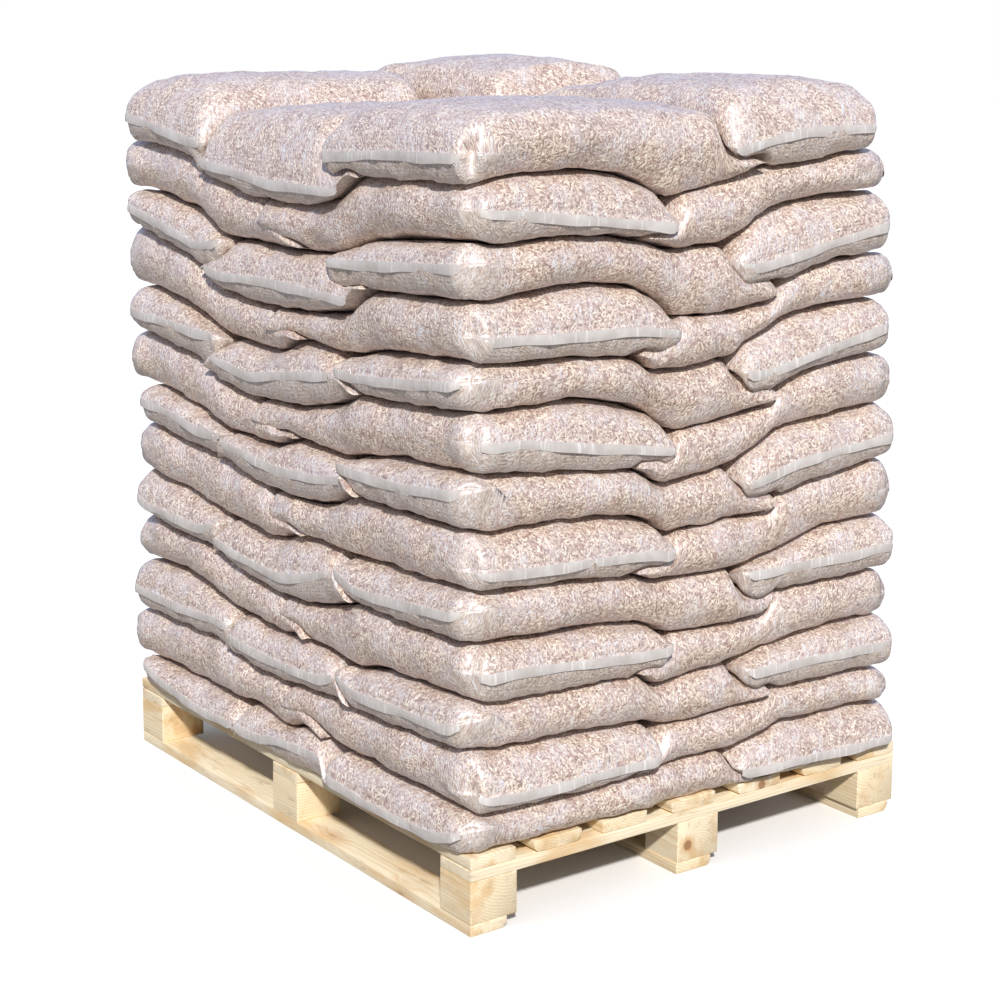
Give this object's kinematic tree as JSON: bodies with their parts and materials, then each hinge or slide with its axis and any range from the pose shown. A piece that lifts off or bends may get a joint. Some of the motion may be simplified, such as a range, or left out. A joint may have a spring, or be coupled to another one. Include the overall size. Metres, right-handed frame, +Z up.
{
  "type": "pallet of sacks",
  "caption": "Wooden block pallet loaded with interlocked courses of clear film sacks filled with wood pellets.",
  "frame": {"origin": "on the floor under the middle of the pallet", "axes": "+X along the deck boards (1.2 m side), +Y along the stringer boards (1.0 m side), +Z up"},
  "size_m": [1.2502, 1.0353, 1.434],
  "materials": {
    "pine_wood": "rough sawn, unpainted",
    "filled_film": "clear film over light brown wood pellets",
    "seam_film": "clouded welded film strip",
    "nail_steel": "dull steel"
  },
  "bodies": {
    "root": {"bottom_board_front": "pine_wood", "bottom_board_middle": "pine_wood", "bottom_board_back": "pine_wood", "block_front_left": "pine_wood", "block_front_centre": "pine_wood", "block_front_right": "pine_wood", "block_middle_left": "pine_wood", "block_middle_centre": "pine_wood", "block_middle_right": "pine_wood", "block_back_left": "pine_wood", "block_back_centre": "pine_wood", "block_back_right": "pine_wood", "stringer_board_left": "pine_wood", "stringer_board_centre": "pine_wood", "stringer_board_right": "pine_wood", "deck_board_1": "pine_wood", "deck_board_2": "pine_wood", "deck_board_3": "pine_wood", "deck_board_4": "pine_wood", "deck_board_5": "pine_wood", "deck_board_6": "pine_wood", "deck_board_7": "pine_wood", "sack_layer_01": "filled_film", "sack_layer_02": "filled_film", "sack_layer_03": "filled_film", "sack_layer_04": "filled_film", "sack_layer_05": "filled_film", "sack_layer_06": "filled_film", "sack_layer_07": "filled_film", "sack_layer_08": "filled_film", "sack_layer_09": "filled_film", "sack_layer_10": "filled_film", "sack_layer_11": "filled_film", "sack_layer_12": "filled_film", "sack_layer_13": "filled_film"}
  },
  "joints": []
}
